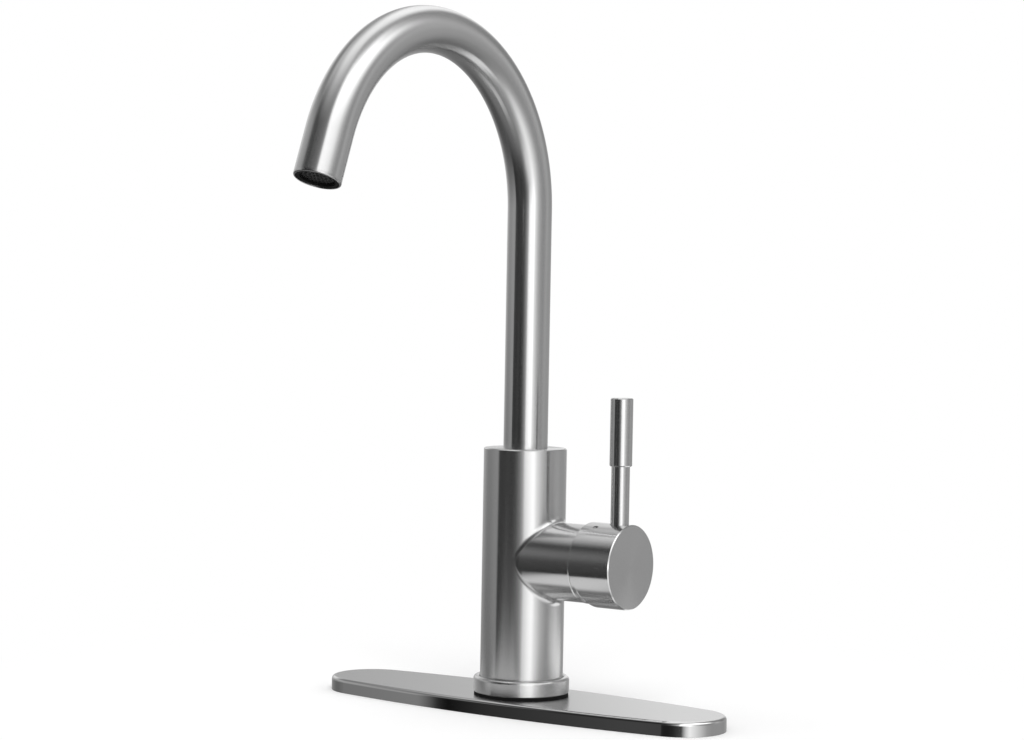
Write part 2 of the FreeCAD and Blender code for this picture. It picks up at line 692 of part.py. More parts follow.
def make_spout_tube():
    body = new_body("spout_tube")
    foot = body_top() - D["tube_insertion"]
    ring = sketch_on(body, "tube_section", "XY_Plane", foot)
    add_circle(ring, 0.0, 0.0, D["spout_radius"])
    add_circle(ring, 0.0, 0.0, D["spout_radius"] - D["tube_wall"])
    spine = sketch_on(body, "tube_path", "YZ_Plane")
    radius, height = D["arc_radius"], D["arc_height"]
    sweep = 180.0 - D["tip_lean"].value
    arc_end_y = -(radius + radius * cosine(D["tip_lean"]))
    arc_end_z = height + radius * sine(D["tip_lean"])
    tip_y, tip_z = outlet_centre()

    def point(y, z):
        return FreeCAD.Vector(as_size(y).value, as_size(z).value, 0)

    circle = Part.Circle(point(-radius, height), FreeCAD.Vector(0, 0, 1), radius.value)
    riser = spine.addGeometry(Part.LineSegment(point(0.0, foot), point(0.0, height)), False)
    bend = spine.addGeometry(Part.ArcOfCircle(circle, 0.0, math.radians(sweep)), False)
    tip = spine.addGeometry(Part.LineSegment(point(arc_end_y, arc_end_z), point(tip_y, tip_z)), False)
    spine.addConstraint(Sketcher.Constraint("Coincident", riser, 2, bend, 1))
    spine.addConstraint(Sketcher.Constraint("Tangent", bend, 2, tip, 1))
    pin_point(spine, riser, 1, 0.0, foot)
    pin_point(spine, riser, 2, 0.0, height)
    pin_point(spine, bend, 3, -radius, height)
    pin_point(spine, tip, 2, tip_y, tip_z)
    doc.recompute()
    pipe = body.newObject("PartDesign::AdditivePipe", "tube_pipe")
    pipe.Profile = ring
    pipe.Spine = spine
    doc.recompute()

    def outer_lip(edge):
        curve = edge.Curve
        if not isinstance(curve, Part.Circle):
            return False
        near = math.hypot(curve.Center.y - tip_y.value, curve.Center.z - tip_z.value) < BLEND_TOLERANCE
        return near and abs(curve.Radius - D["spout_radius"].value) < BLEND_TOLERANCE

    round_edges(body, "tip_rounding", outer_lip, D["tip_edge_radius"])


def outlet_centre():
    """Y and Z of the middle of the spout's mouth."""
    lean = D["tip_lean"]
    y = -(D["arc_radius"] + D["arc_radius"] * cosine(lean) + D["tip_length"] * sine(lean))
    z = D["arc_height"] + D["arc_radius"] * sine(lean) - D["tip_length"] * cosine(lean)
    return y, z


def o_ring_centres():
    return [stem_foot() + D["o_ring_low"], stem_foot() + D["o_ring_high"]]


def make_spout_stem():
    """Outline runs up the outside with its grooves, then down the water bore."""
    outer = D["spout_radius"]
    foot = stem_foot()
    glide_floor = outer - D["glide_thickness"]
    ring_floor = outer - 2 * D["o_ring_cord"]
    half_groove = D["o_ring_groove_width"] / 2
    half_lock = D["lock_groove_width"] / 2
    shoulder = body_top() - D["tube_insertion"]
    spigot = outer - D["tube_wall"]
    grooves = [(foot + D["glide_low"], foot + D["glide_low"] + D["glide_width"], glide_floor)]
    grooves += [(z - half_groove, z + half_groove, ring_floor) for z in o_ring_centres()]
    grooves += [(lock_height() - half_lock, lock_height() + half_lock, D["lock_groove_radius"])]
    corners = [(D["stem_bore_radius"], foot), (outer, foot)]
    for low, high, floor in grooves:
        corners += [(outer, low), (floor, low), (floor, high), (outer, high)]
    corners += [
        (outer, shoulder),
        (spigot, shoulder),
        (spigot, shoulder + D["stem_spigot"]),
        (D["stem_bore_radius"], shoulder + D["stem_spigot"]),
    ]
    turned("spout_stem", corners)


def make_spout_o_rings():
    """Two rings of round section, so a torus each."""
    rings = []
    middle = D["spout_radius"] - D["o_ring_cord"]
    for name, height in zip(("lower", "upper"), o_ring_centres()):
        ring = doc.addObject("Part::Torus", f"{name}_o_ring")
        bind(ring, "Radius1", middle)
        bind(ring, "Radius2", D["o_ring_cord"])
        bind(ring, "Placement.Base.z", height)
        rings.append(ring)
    pair = doc.addObject("Part::Compound", "spout_o_rings")
    pair.Links = rings
    pair.Label = "spout_o_rings"
    doc.recompute()
    bodies.append(pair)


def make_spout_glide_ring():
    low = stem_foot() + D["glide_low"]
    inner = D["spout_radius"] - D["glide_thickness"]
    turned("spout_glide_ring", rectangle(inner, low, D["spout_radius"], low + D["glide_width"]))


# ----------------------------------------------------------------- aerator
# Each piece is drawn about its own Z, from the spout's lip upstream into the tube.

def place_in_tip(body):
    y, z = outlet_centre()
    place(body, y=y, z=z, turn=FreeCAD.Rotation(FreeCAD.Vector(-1, 0, 0), D["tip_lean"].value))
    bind(body, "Placement.Rotation.Angle", D["tip_lean"])


def tube_bore():
    return D["spout_radius"] - D["tube_wall"]


def aerator_outer():
    return tube_bore() - D["aerator_fit"]


def aerator_inner():
    return aerator_outer() - D["aerator_wall"]


def screen_start():
    return D["aerator_recess"] + D["aerator_lip"]


def core_start():
    return screen_start() + D["screen_thickness"]


def aerator_top():
    return D["aerator_recess"] + D["aerator_height"]


def make_aerator_housing():
    mouth = aerator_inner() - D["aerator_lip"]
    body = turned("aerator_housing", [
        (mouth, D["aerator_recess"]),
        (aerator_outer(), D["aerator_recess"]),
        (aerator_outer(), aerator_top()),
        (aerator_inner(), aerator_top()),
        (aerator_inner(), screen_start()),
        (mouth, screen_start()),
    ])
    place_in_tip(body)


def make_aerator_screen():
    start, end = screen_start(), core_start()
    body = turned("aerator_screen", rectangle(0.0, start, aerator_inner(), end))
    drill(body, "grid_middle", "XY_Plane", 0.0, 0.0, D["screen_hole_radius"], start, end)
    for ring in range(1, SCREEN_RINGS + 1):
        ring_of_holes(body, f"grid_ring_{ring}", "XY_Plane", ring * D["screen_ring_pitch"],
                      D["screen_hole_radius"], start, end, ring * HOLES_PER_RING)
    place_in_tip(body)


def make_aerator_core():
    start = core_start()
    end = start + D["core_thickness"]
    body = turned("aerator_core", rectangle(0.0, start, aerator_inner(), end))
    for ring in range(1, CORE_RINGS + 1):
        ring_of_holes(body, f"core_ring_{ring}", "XY_Plane", ring * D["core_ring_pitch"],
                      D["core_hole_radius"], start, end, ring * HOLES_PER_RING)
    place_in_tip(body)


def make_aerator_seal():
    top = aerator_top() + D["aerator_seal_thickness"]
    body = turned("aerator_seal", rectangle(D["aerator_seat_radius"], aerator_top(), aerator_outer(), top))
    place_in_tip(body)


def make_aerator_seat():
    start = aerator_top() + D["aerator_seal_thickness"]
    end = start + D["aerator_seat_height"]
    body = turned("aerator_seat", rectangle(D["aerator_seat_radius"], start, tube_bore(), end))
    place_in_tip(body)


# --------------------------------------------------------------- cartridge
# Drawn about the handle's axis: Z is the reach from the body's axis, X is up, Y to the front.

def base_end():
    return D["cartridge_floor"] + D["cartridge_base_height"]


def fixed_disc_end():
    return base_end() + D["fixed_disc_thickness"]


def moving_disc_start():
    return fixed_disc_end() + D["disc_film"]


def moving_disc_end():
    return moving_disc_start() + D["moving_disc_thickness"]


def port_places():
    """Name, X, Y and radius of the cartridge's three ports."""
    inlet_x = -D["inlet_port_drop"]
    return [
        ("cold", inlet_x, D["inlet_offset"], D["inlet_way_radius"]),
        ("hot", inlet_x, -D["inlet_offset"], D["inlet_way_radius"]),
        ("outlet", D["outlet_port_rise"], 0.0, D["outlet_way_radius"]),
    ]


def make_cartridge_base():
    body = turned("cartridge_base", rectangle(0.0, D["cartridge_floor"], D["cartridge_radius"], base_end()))
    floor = D["cartridge_floor"]
    seat_end = floor + D["port_seal_thickness"]
    for name, x, y, radius in port_places():
        drill(body, f"{name}_base_port", "XY_Plane", x, y, radius, floor, base_end())
        drill(body, f"{name}_seal_seat", "XY_Plane", x, y, D["port_seal_radius"], floor, seat_end)
    place_on_handle_axis(body)


def make_port_seals():
    """Three flat rings, each a cylinder with a smaller one cut out of it."""
    seals = []
    for name, x, y, radius in port_places():
        cylinders = []
        for part, part_radius in (("outside", D["port_seal_radius"]), ("inside", radius)):
            cylinder = doc.addObject("Part::Cylinder", f"{name}_seal_{part}")
            bind(cylinder, "Radius", part_radius)
            bind(cylinder, "Height", D["port_seal_thickness"])
            bind(cylinder, "Placement.Base.x", x)
            bind(cylinder, "Placement.Base.y", y)
            bind(cylinder, "Placement.Base.z", D["cartridge_floor"])
            cylinders.append(cylinder)
        ring = doc.addObject("Part::Cut", f"{name}_port_seal")
        ring.Base, ring.Tool = cylinders
        seals.append(ring)
    group = doc.addObject("Part::Compound", "port_seals")
    group.Links = seals
    group.Label = "port_seals"
    doc.recompute()
    place_on_handle_axis(group)
    bodies.append(group)


def make_fixed_disc():
    body = turned("fixed_disc", rectangle(0.0, base_end(), D["fixed_disc_radius"], fixed_disc_end()))
    for name, x, y, radius in port_places():
        drill(body, f"{name}_disc_port", "XY_Plane", x, y, radius, base_end(), fixed_disc_end())
    place_on_handle_axis(body)


def make_moving_disc():
    start = moving_disc_start()
    body = turned("moving_disc", rectangle(0.0, start, D["moving_disc_radius"], moving_disc_end()))
    drill(body, "mixing_pocket", "XY_Plane", 0.0, 0.0, D["mixing_radius"],
          start, start + D["mixing_depth"])
    place_on_handle_axis(body)


def make_disc_driver():
    end = moving_disc_end() + D["driver_thickness"]
    body = turned("disc_driver", rectangle(
        D["ball_radius"] + D["ball_fit"], moving_disc_end(), D["moving_disc_radius"], end))
    place_on_handle_axis(body)


def make_cartridge_housing():
    body = turned("cartridge_housing", [
        (D["cup_radius"], base_end()),
        (D["cartridge_radius"], base_end()),
        (D["cartridge_radius"], D["cup_end"]),
        (D["neck_radius"], D["cup_end"]),
        (D["neck_radius"], D["neck_end"]),
        (D["carrier_radius"], D["neck_end"]),
        (D["carrier_radius"], D["cup_end"] - D["cup_roof"]),
        (D["cup_radius"], D["cup_end"] - D["cup_roof"]),
    ])
    place_on_handle_axis(body)


def make_retaining_nut():
    bore = D["neck_radius"] + D["neck_play"]
    body = turned("retaining_nut", [
        (bore, D["cup_end"]),
        (D["nut_thread_radius"], D["cup_end"]),
        (D["nut_thread_radius"], D["housing_end"]),
        (D["nut_nose_radius"], D["housing_end"]),
        (D["nut_nose_radius"], D["nut_nose_end"]),
        (bore, D["nut_nose_end"]),
    ])
    place_on_handle_axis(body)


def make_bonnet_cap():
    """A low cap: a straight rim, a slanted shoulder with a rounded edge, and a flat front."""
    body = new_body("bonnet_cap")
    sketch = sketch_on(body, "bonnet_profile", "XZ_Plane")
    start = D["housing_end"] + D["bonnet_gap"]
    rim = start + D["bonnet_rim"]
    bore = D["neck_radius"] + D["neck_play"]
    corners = [
        (D["nut_nose_radius"], start),
        (D["bonnet_radius"], start),
        (D["bonnet_radius"], rim),
        (D["bonnet_nose_radius"], D["bonnet_end"]),
        (bore, D["bonnet_end"]),
        (bore, D["nut_nose_end"]),
        (D["nut_nose_radius"], D["nut_nose_end"]),
    ]
    add_polygon(sketch, corners)
    feature = body.newObject("PartDesign::Revolution", "bonnet_turned")
    feature.Profile = sketch
    feature.ReferenceAxis = (sketch, ["V_Axis"])
    feature.Angle = FULL_TURN
    doc.recompute()

    def rims_shoulder(edge):
        return is_circle(edge, D["bonnet_radius"], rim)

    round_edges(body, "bonnet_shoulder", rims_shoulder, D["bonnet_edge_round"])
    place_on_handle_axis(body)


def make_stem_carrier():
    outer = D["carrier_radius"] - D["carrier_fit"]
    flange_end = D["cup_end"] - D["cup_roof"] - D["carrier_end_gap"]
    flange_start = flange_end - D["carrier_flange_height"]
    end = D["neck_end"] - D["carrier_end_gap"]
    body = turned("stem_carrier", [
        (0.0, flange_start),
        (D["carrier_flange_radius"], flange_start),
        (D["carrier_flange_radius"], flange_end),
        (outer, flange_end),
        (outer, end),
        (0.0, end),
    ])
    slot = sketch_on(body, "stem_slot_outline", "XY_Plane", flange_start)
    half = D["stem_width"] / 2 + D["slot_play"]
    add_polygon(slot, rectangle(-D["slot_below"], -half, D["slot_above"], half))
    cut(body, "stem_slot", slot, end - flange_start)
    drill_across(body, "pin_hole", D["pivot_reach"], D["pin_radius"], D["pin_length"])
    place_on_handle_axis(body)


def drill_across(body, name, height, radius, length):
    """A hole along the body's Y, centred on its Z axis."""
    sketch = sketch_on(body, f"{name}_circle", "XZ_Plane")
    add_circle(sketch, 0.0, height, radius)
    before = body.Shape.Volume
    feature = body.newObject("PartDesign::Pocket", name)
    feature.Profile = sketch
    feature.Midplane = True
    bind(feature, "Length", length)
    doc.recompute()
    if not body.Shape.Volume < before:
        raise RuntimeError(f"{name} removed nothing from {body.Label}")


def make_lever_pin():
    half = D["pin_length"] / 2
    body = turned("lever_pin", rectangle(0.0, -half, D["pin_radius"], half))
    place(body, x=D["pivot_reach"], z=D["handle_height"], turn=FreeCAD.Rotation(FreeCAD.Vector(1, 0, 0), 90))


# ------------------------------------------------------------------ handle

def make_cartridge_stem():
    body = new_body("cartridge_stem")
    half = D["stem_width"] / 2
    square = sketch_on(body, "stem_square", "XY_Plane", D["stem_shoulder"])
    add_polygon(square, rectangle(-half, -half, half, half))
    padded(body, "stem_square_bar", square, D["stem_end"] - D["stem_shoulder"])
    arm_steps = [
        ("stem_arm", D["stem_arm_radius"], D["stem_neck_end"], D["stem_shoulder"]),
        ("stem_neck", D["stem_neck_radius"], D["ball_reach"], D["stem_neck_end"]),
    ]
    for name, radius, start, end in arm_steps:
        sketch = sketch_on(body, f"{name}_circle", "XY_Plane", start)
        add_circle(sketch, 0.0, 0.0, radius)
        padded(body, name, sketch, end - start)
    ball = body.newObject("PartDesign::AdditiveSphere", "stem_ball")
    bind(ball, "Radius", D["ball_radius"])
    plane = next(f for f in body.Origin.OriginFeatures if f.Role == "XY_Plane")
    ball.AttachmentSupport = (plane, [""])
    ball.MapMode = "FlatFace"
    bind(ball, "AttachmentOffset.Base.z", D["ball_reach"])
    doc.recompute()
    drill_across(body, "stem_pin_hole", D["pivot_reach"], D["pin_radius"] + D["pin_fit"],
                 D["stem_width"] * 2)
    place_on_handle_axis(body)


def make_handle_hub():
    start = D["housing_end"] + D["hub_gap"]
    hollow = D["hub_radius"] - D["hub_wall"]
    body = turned("handle_hub", [
        (0.0, D["hub_boss_start"]),
        (D["hub_boss_radius"], D["hub_boss_start"]),
        (D["hub_boss_radius"], D["hub_floor"]),
        (hollow, D["hub_floor"]),
        (hollow, start),
        (D["hub_radius"], start),
        (D["hub_radius"], D["hub_face"]),
        (0.0, D["hub_face"]),
    ])

    def rims_face(edge):
        return is_circle(edge, D["hub_radius"], D["hub_face"])

    chamfer_edges(body, "hub_face_edge", rims_face, D["edge_break"])
    chamfer_edges(body, "hub_rim_edge", lambda e: is_circle(e, D["hub_radius"], start), D["edge_break"])
    add_clamp_boss(body, hollow)
    square = sketch_on(body, "hub_square_outline", "XY_Plane", D["hub_boss_start"])
    half = D["stem_width"] / 2
    add_polygon(square, rectangle(-half, -half, half, half))
    cut(body, "hub_square", square, D["stem_end"] - D["hub_boss_start"])
    bore = sketch_on(body, "lever_bore_circle", "YZ_Plane", D["lever_stud_foot"])
    add_circle(bore, 0.0, D["lever_reach"], D["lever_stud_radius"])
    cut(body, "lever_bore", bore, D["hub_radius"])
    spot = sketch_on(body, "lever_spot_circle", "YZ_Plane", D["lever_seat"])
    add_circle(spot, 0.0, D["lever_reach"], D["rod_radius"] + D["lever_play"])
    cut(body, "lever_spot_face", spot, D["hub_radius"])
    add_clamp_hole(body)
    add_relief(body, start)
    place_on_handle_axis(body)


def turned_plane(body, name, start):
    """A sketch square to the clamp screw's axis, at a distance from the handle's axis."""
    sketch = body.newObject("Sketcher::SketchObject", name)
    plane = next(f for f in body.Origin.OriginFeatures if f.Role == "YZ_Plane")
    sketch.AttachmentSupport = (plane, [""])
    sketch.MapMode = "FlatFace"
    turn = FreeCAD.Rotation(FreeCAD.Vector(0, 1, 0), D["clamp_turn"].value)
    x = start * sine(D["clamp_turn"])
    z = start * cosine(D["clamp_turn"])
    sketch.AttachmentOffset = FreeCAD.Placement(FreeCAD.Vector(x.value, 0, z.value), turn)
    bind(sketch, "AttachmentOffset.Base.x", x)
    bind(sketch, "AttachmentOffset.Base.z", z)
    bind(sketch, "AttachmentOffset.Rotation.Angle", D["clamp_turn"])
    return sketch


def add_clamp_boss(body, hollow):
    """The boss that carries the clamp screw, from the middle boss out to the wall."""
    start = D["clamp_screw_seat"] + D["seat_play"]
    sketch = turned_plane(body, "clamp_boss_circle", start)
    add_circle(sketch, 0.0, D["clamp_reach"], D["clamp_boss_radius"])
    padded(body, "clamp_boss", sketch, hollow + D["hub_wall"] / 2 - start)


def add_clamp_hole(body):
    sketch = turned_plane(body, "clamp_hole_circle", D["stem_width"] / 2)
    add_circle(sketch, 0.0, D["clamp_reach"], D["clamp_screw_radius"])
    cut(body, "clamp_hole", sketch, D["hub_radius"])


def add_relief(body, start):
    """The slanted cut that lets the head tilt past the side housing."""
    depth = D["hub_radius"] + D["hub_wall"]
    reach = (depth - D["relief_drop"]) * tangent(D["relief_slant"])
    sketch = sketch_on(body, "relief_outline", "XZ_Plane")
    add_polygon(sketch, [
        (-D["relief_drop"], start),
        (-depth, start + reach),
        (-depth, start - D["hub_wall"]),
        (-D["relief_drop"], start - D["hub_wall"]),
    ])
    before = body.Shape.Volume
    feature = body.newObject("PartDesign::Pocket", "relief")
    feature.Profile = sketch
    feature.Midplane = True
    bind(feature, "Length", 2 * depth)
    doc.recompute()
    if not body.Shape.Volume < before:
        raise RuntimeError("the relief removed nothing from the handle head")


def make_handle_set_screw():
    """Drawn about its own Z and laid along the clamp hole."""
    start = D["clamp_screw_seat"]
    top = start + D["clamp_screw_length"]
    body = turned("handle_set_screw", rectangle(0.0, start, D["clamp_screw_radius"], top))
    add_hex_socket(body, "clamp_screw_socket", top, D["clamp_key_radius"])
    turn = FreeCAD.Rotation(FreeCAD.Vector(1, 0, 0), D["clamp_turn"].value)
    place(body, x=D["clamp_reach"], z=D["handle_height"], turn=turn)
    bind(body, "Placement.Rotation.Angle", D["clamp_turn"])


def make_lever():
    seat = D["handle_height"] + D["lever_seat"]
    foot = D["handle_height"] + D["lever_stud_foot"]
    spigot_end = D["grip_start"] + D["grip_spigot_length"]
    rod = turned("lever_rod", [
        (0.0, foot),
        (D["lever_stud_radius"], foot),
        (D["lever_stud_radius"], seat),
        (D["rod_radius"], seat),
        (D["rod_radius"], D["grip_start"]),
        (D["grip_spigot_radius"], D["grip_start"]),
        (D["grip_spigot_radius"], spigot_end),
        (0.0, spigot_end),
    ])
    place(rod, x=D["lever_reach"])
    grip = turned("lever_grip", [
        (D["grip_spigot_radius"], D["grip_start"]),
        (D["grip_radius"], D["grip_start"]),
        (D["grip_radius"], D["grip_end"]),
        (0.0, D["grip_end"]),
        (0.0, spigot_end),
        (D["grip_spigot_radius"], spigot_end),
    ])
    for name, height in (("grip_top_edge", D["grip_end"]), ("grip_lower_edge", D["grip_start"])):
        chamfer_edges(grip, name, lambda e: is_circle(e, D["grip_radius"], height), D["edge_break"])
    place(grip, x=D["lever_reach"])


def check_document():
    """Every object has to be sound before anything is written."""
    doc.recompute()
    for obj in doc.Objects:
        if "Invalid" in obj.State or "Error" in obj.State:
            raise RuntimeError(f"{obj.Label} failed: {obj.State}")
    for body in bodies:
        shape = body.Shape
        if shape.isNull() or not shape.isValid() or not shape.Solids:
            raise RuntimeError(f"{body.Label} has no valid solid")


def write_parts():
    os.makedirs("parts", exist_ok=True)
    for body in bodies:
        body.Shape.exportStep(os.path.join("parts", f"{body.Label}.step"))
        print(f"{body.Label}: {len(body.Shape.Solids)} solid, {body.Shape.Volume:.0f} mm3")


make_deck_plate()
make_deck_plate_base()
make_deck_gasket()
make_base_seal()
make_base_ring()
make_faucet_body()
make_lock_screw()
make_mounting_shank()
make_clamp_set()
make_spout_tube()
make_spout_stem()
make_spout_o_rings()
make_spout_glide_ring()
make_aerator_housing()
make_aerator_screen()
make_aerator_core()
make_aerator_seal()
make_aerator_seat()
make_cartridge_base()
make_port_seals()
make_fixed_disc()
make_moving_disc()
make_disc_driver()
make_cartridge_housing()
make_retaining_nut()
make_bonnet_cap()
make_stem_carrier()
make_lever_pin()
make_cartridge_stem()
make_handle_hub()
make_handle_set_screw()
make_lever()
check_document()
write_parts()
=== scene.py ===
"""Looks of the gooseneck bar faucet: brushed steel, the fine spout tube, aerator and studio.

All lengths are in metres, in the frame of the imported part: +Z up, the lever along +X, the
spout reaching along -Y, and the deck plate resting on z = 0.
"""
import math

import bpy
from mathutils import Matrix, Vector


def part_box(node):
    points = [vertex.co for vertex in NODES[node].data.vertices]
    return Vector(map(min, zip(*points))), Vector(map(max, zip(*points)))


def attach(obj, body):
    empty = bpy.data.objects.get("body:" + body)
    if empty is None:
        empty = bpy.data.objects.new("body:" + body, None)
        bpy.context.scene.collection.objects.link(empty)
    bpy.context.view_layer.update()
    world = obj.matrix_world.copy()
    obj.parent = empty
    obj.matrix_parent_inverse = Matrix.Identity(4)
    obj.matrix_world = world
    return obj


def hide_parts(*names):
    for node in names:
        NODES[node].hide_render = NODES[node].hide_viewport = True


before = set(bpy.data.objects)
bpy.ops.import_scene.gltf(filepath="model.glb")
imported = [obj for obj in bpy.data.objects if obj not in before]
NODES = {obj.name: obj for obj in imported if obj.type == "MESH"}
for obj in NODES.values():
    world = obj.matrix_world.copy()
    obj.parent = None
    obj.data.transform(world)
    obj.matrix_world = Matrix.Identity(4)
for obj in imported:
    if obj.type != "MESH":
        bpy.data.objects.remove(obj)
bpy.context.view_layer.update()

ORIGIN = (0.0, 0.0, 0.0)
ALONG_X = (1.0, 0.0, 0.0)
ALONG_Z = (0.0, 0.0, 1.0)
FULL_TURN = 2 * math.pi
FULL_TURN_DEGREES = 360


def grey(level):
    return (level, level, level)


# ------------------------------------------------------------------ camera
# Found by fitting the part's outlines to the photograph; pixels are those of a 1024 x 740 frame.
CAMERA_PLACE = Vector((0.775636, -1.118656, 0.224769))
CAMERA_YAW = math.radians(35.077)
CAMERA_PITCH = math.radians(-1.737)
CAMERA_ROLL = math.radians(1.042)
CAMERA_CLIP_START = 0.05
CAMERA_CLIP_END = 50.0
FOCAL_PIXELS = 2519.118
FRAME_WIDTH_PIXELS = 1024
SENSOR_WIDTH_MM = 36.0

# ------------------------------------------------------------------- spout
# The tube's middle line is a riser, one bend and a straight tip.
BEND_RADIUS = 0.0885
TIP_LEAN = math.radians(20.5)
TIP_LENGTH = 0.025
TUBE_WALL = 0.0015
TUBE_SIDES = 96
TUBE_STATION = 0.002
SHARP_ANGLE = math.radians(40)
# At its mouth the tube is bored out to a thin rounded lip; a black ring, painted shade of the
# recess, fills it.
MOUTH_WALL = 0.0010
MOUTH_DEPTH = 0.0010
LIP_ROUNDING_INSIDE = 0.0001
LIP_ROUNDING_OUTSIDE = 0.00075
LIP_STEPS = 4
# The black ring's play, set back, width and bevel: a dark ring that paints the shade in the
# mouth.
SHADE_RING_PLAY = 0.00003
SHADE_RING_SET_BACK = 0.00045
SHADE_RING_WIDTH = 0.0019
SHADE_RING_BEVEL = 0.0002

# ----------------------------------------------------------- brushed steel
STEEL_DARK = grey(0.565)
STEEL_LIGHT = grey(0.615)
STROKES_PER_METRE = 1400.0
STROKE_DRIFT = 9.0
STROKE_DETAIL = 6.0
STROKE_GRIT = 0.65
STROKE_DEPTH = 0.0000006
PATCHES_PER_METRE = 60.0
PATCH_SHARE = 0.35
# Roughness goes from a low to a high value with the strokes. Stretch is the shader's anisotropy.
BODY_ROUGHNESS = (0.23, 0.25)
BODY_STRETCH = 0.90
HANDLE_ROUGHNESS = (0.18, 0.20)
HANDLE_STRETCH = 0.82
TUBE_ROUGHNESS = (0.20, 0.22)
TUBE_STRETCH = 0.92
PLATE_PATCHES_PER_METRE = 35.0
PLATE_PATCH_SHARE = 0.5
PLATE_BRUSHED = (0.22, 0.26)
PLATE_BUFFED = (0.04, 0.06)
PLATE_STRETCH = 0.85
# One finish fades into the next between each of these pairs.
END_FACE_SLOPE = (0.80, 0.92)
PLATE_TOP_SLOPE = (0.86, 0.985)
HOUSING_HALF_HEIGHT = (0.024, 0.029)
HOUSING_FROM_AXIS = (0.0227, 0.0245)
UPRIGHT_TOP = (0.140, 0.141)

# ------------------------------------------------------- the other finishes
CLOUD_GRAINS = 12  # grains across one cloud of colour
GRAIN_DETAIL = 5.0
GRAIN_GRIT = 0.6
PLAIN_GLOSS = 0.5
PLAIN_FINISHES = {
    "bright_steel": {
        "nodes": ("lever_pin", "handle_set_screw", "spout_lock_screw", "clamp_washer"),
        "dark": grey(0.50), "light": grey(0.62), "roughness": (0.18, 0.34),
        "grains_per_metre": 900.0, "grain_depth": 0.000004, "metallic": 1.0,
    },
    "turned_brass": {
        "nodes": (
            "spout_stem", "mounting_shank", "mounting_nut", "retaining_nut", "cartridge_stem",
        ),
        "dark": (0.60, 0.44, 0.20), "light": (0.74, 0.57, 0.30), "roughness": (0.22, 0.38),
        "grains_per_metre": 700.0, "grain_depth": 0.000005, "metallic": 1.0,
    },
    "black_rubber": {
        "nodes": ("base_seal", "clamp_gasket", "port_seals", "spout_o_rings", "aerator_seal"),
        "dark": grey(0.004), "light": grey(0.010), "roughness": (0.65, 0.8),
        "grains_per_metre": 1500.0, "grain_depth": 0.00002, "gloss": 0.12,
    },
    "gasket_foam": {
        "nodes": ("deck_gasket",),
        "dark": (0.045, 0.045, 0.048), "light": (0.085, 0.085, 0.09), "roughness": (0.8, 0.95),
        "grains_per_metre": 2600.0, "grain_depth": 0.00008, "sheen": 0.3,
    },
    "grey_plastic": {
        "nodes": ("deck_plate_base", "cartridge_base", "cartridge_housing", "disc_driver"),
        "dark": (0.29, 0.30, 0.31), "light": (0.36, 0.37, 0.38), "roughness": (0.42, 0.55),
        "grains_per_metre": 1800.0, "grain_depth": 0.000012,
    },
    "white_acetal": {
        "nodes": ("stem_carrier", "spout_glide_ring", "aerator_seat"),
        "dark": (0.76, 0.76, 0.73), "light": (0.84, 0.84, 0.82), "roughness": (0.32, 0.42),
        "grains_per_metre": 1200.0, "grain_depth": 0.000006,
    },
    "black_plastic": {
        "nodes": ("aerator_housing",),
        "dark": grey(0.004), "light": grey(0.009), "roughness": (0.4, 0.55),
        "grains_per_metre": 1600.0, "grain_depth": 0.00001, "gloss": 0.1,
    },
    "black_grid": {
        "nodes": ("aerator_screen", "aerator_core"),
        "dark": grey(0.010), "light": grey(0.020), "roughness": (0.35, 0.5),
        "grains_per_metre": 1600.0, "grain_depth": 0.00001,
    },
    "disc_ceramic": {
        "nodes": ("fixed_disc", "moving_disc"),
        "dark": (0.80, 0.79, 0.74), "light": (0.90, 0.89, 0.85), "roughness": (0.10, 0.18),
        "grains_per_metre": 2000.0, "grain_depth": 0.000002,
    },
}

# ------------------------------------------------------------------ studio
AMBIENT_LEVEL = 0.84
WHITE_LEVEL = 1.0
FLOOR_RADIUS = 6.0
FLOOR_SIDES = 96
FLOOR_DROP = 0.0001
FLOOR_FADE = (0.16, 0.34)
FLOOR_DARK = grey(0.945)
FLOOR_LIGHT = grey(0.955)
PAPER_PER_METRE = 300.0
DOME_RADIUS = 5.0
DOME_CENTRE = (0.0, 0.0, 0.12)
DOME_SEGMENTS = 64
DOME_RINGS = 32
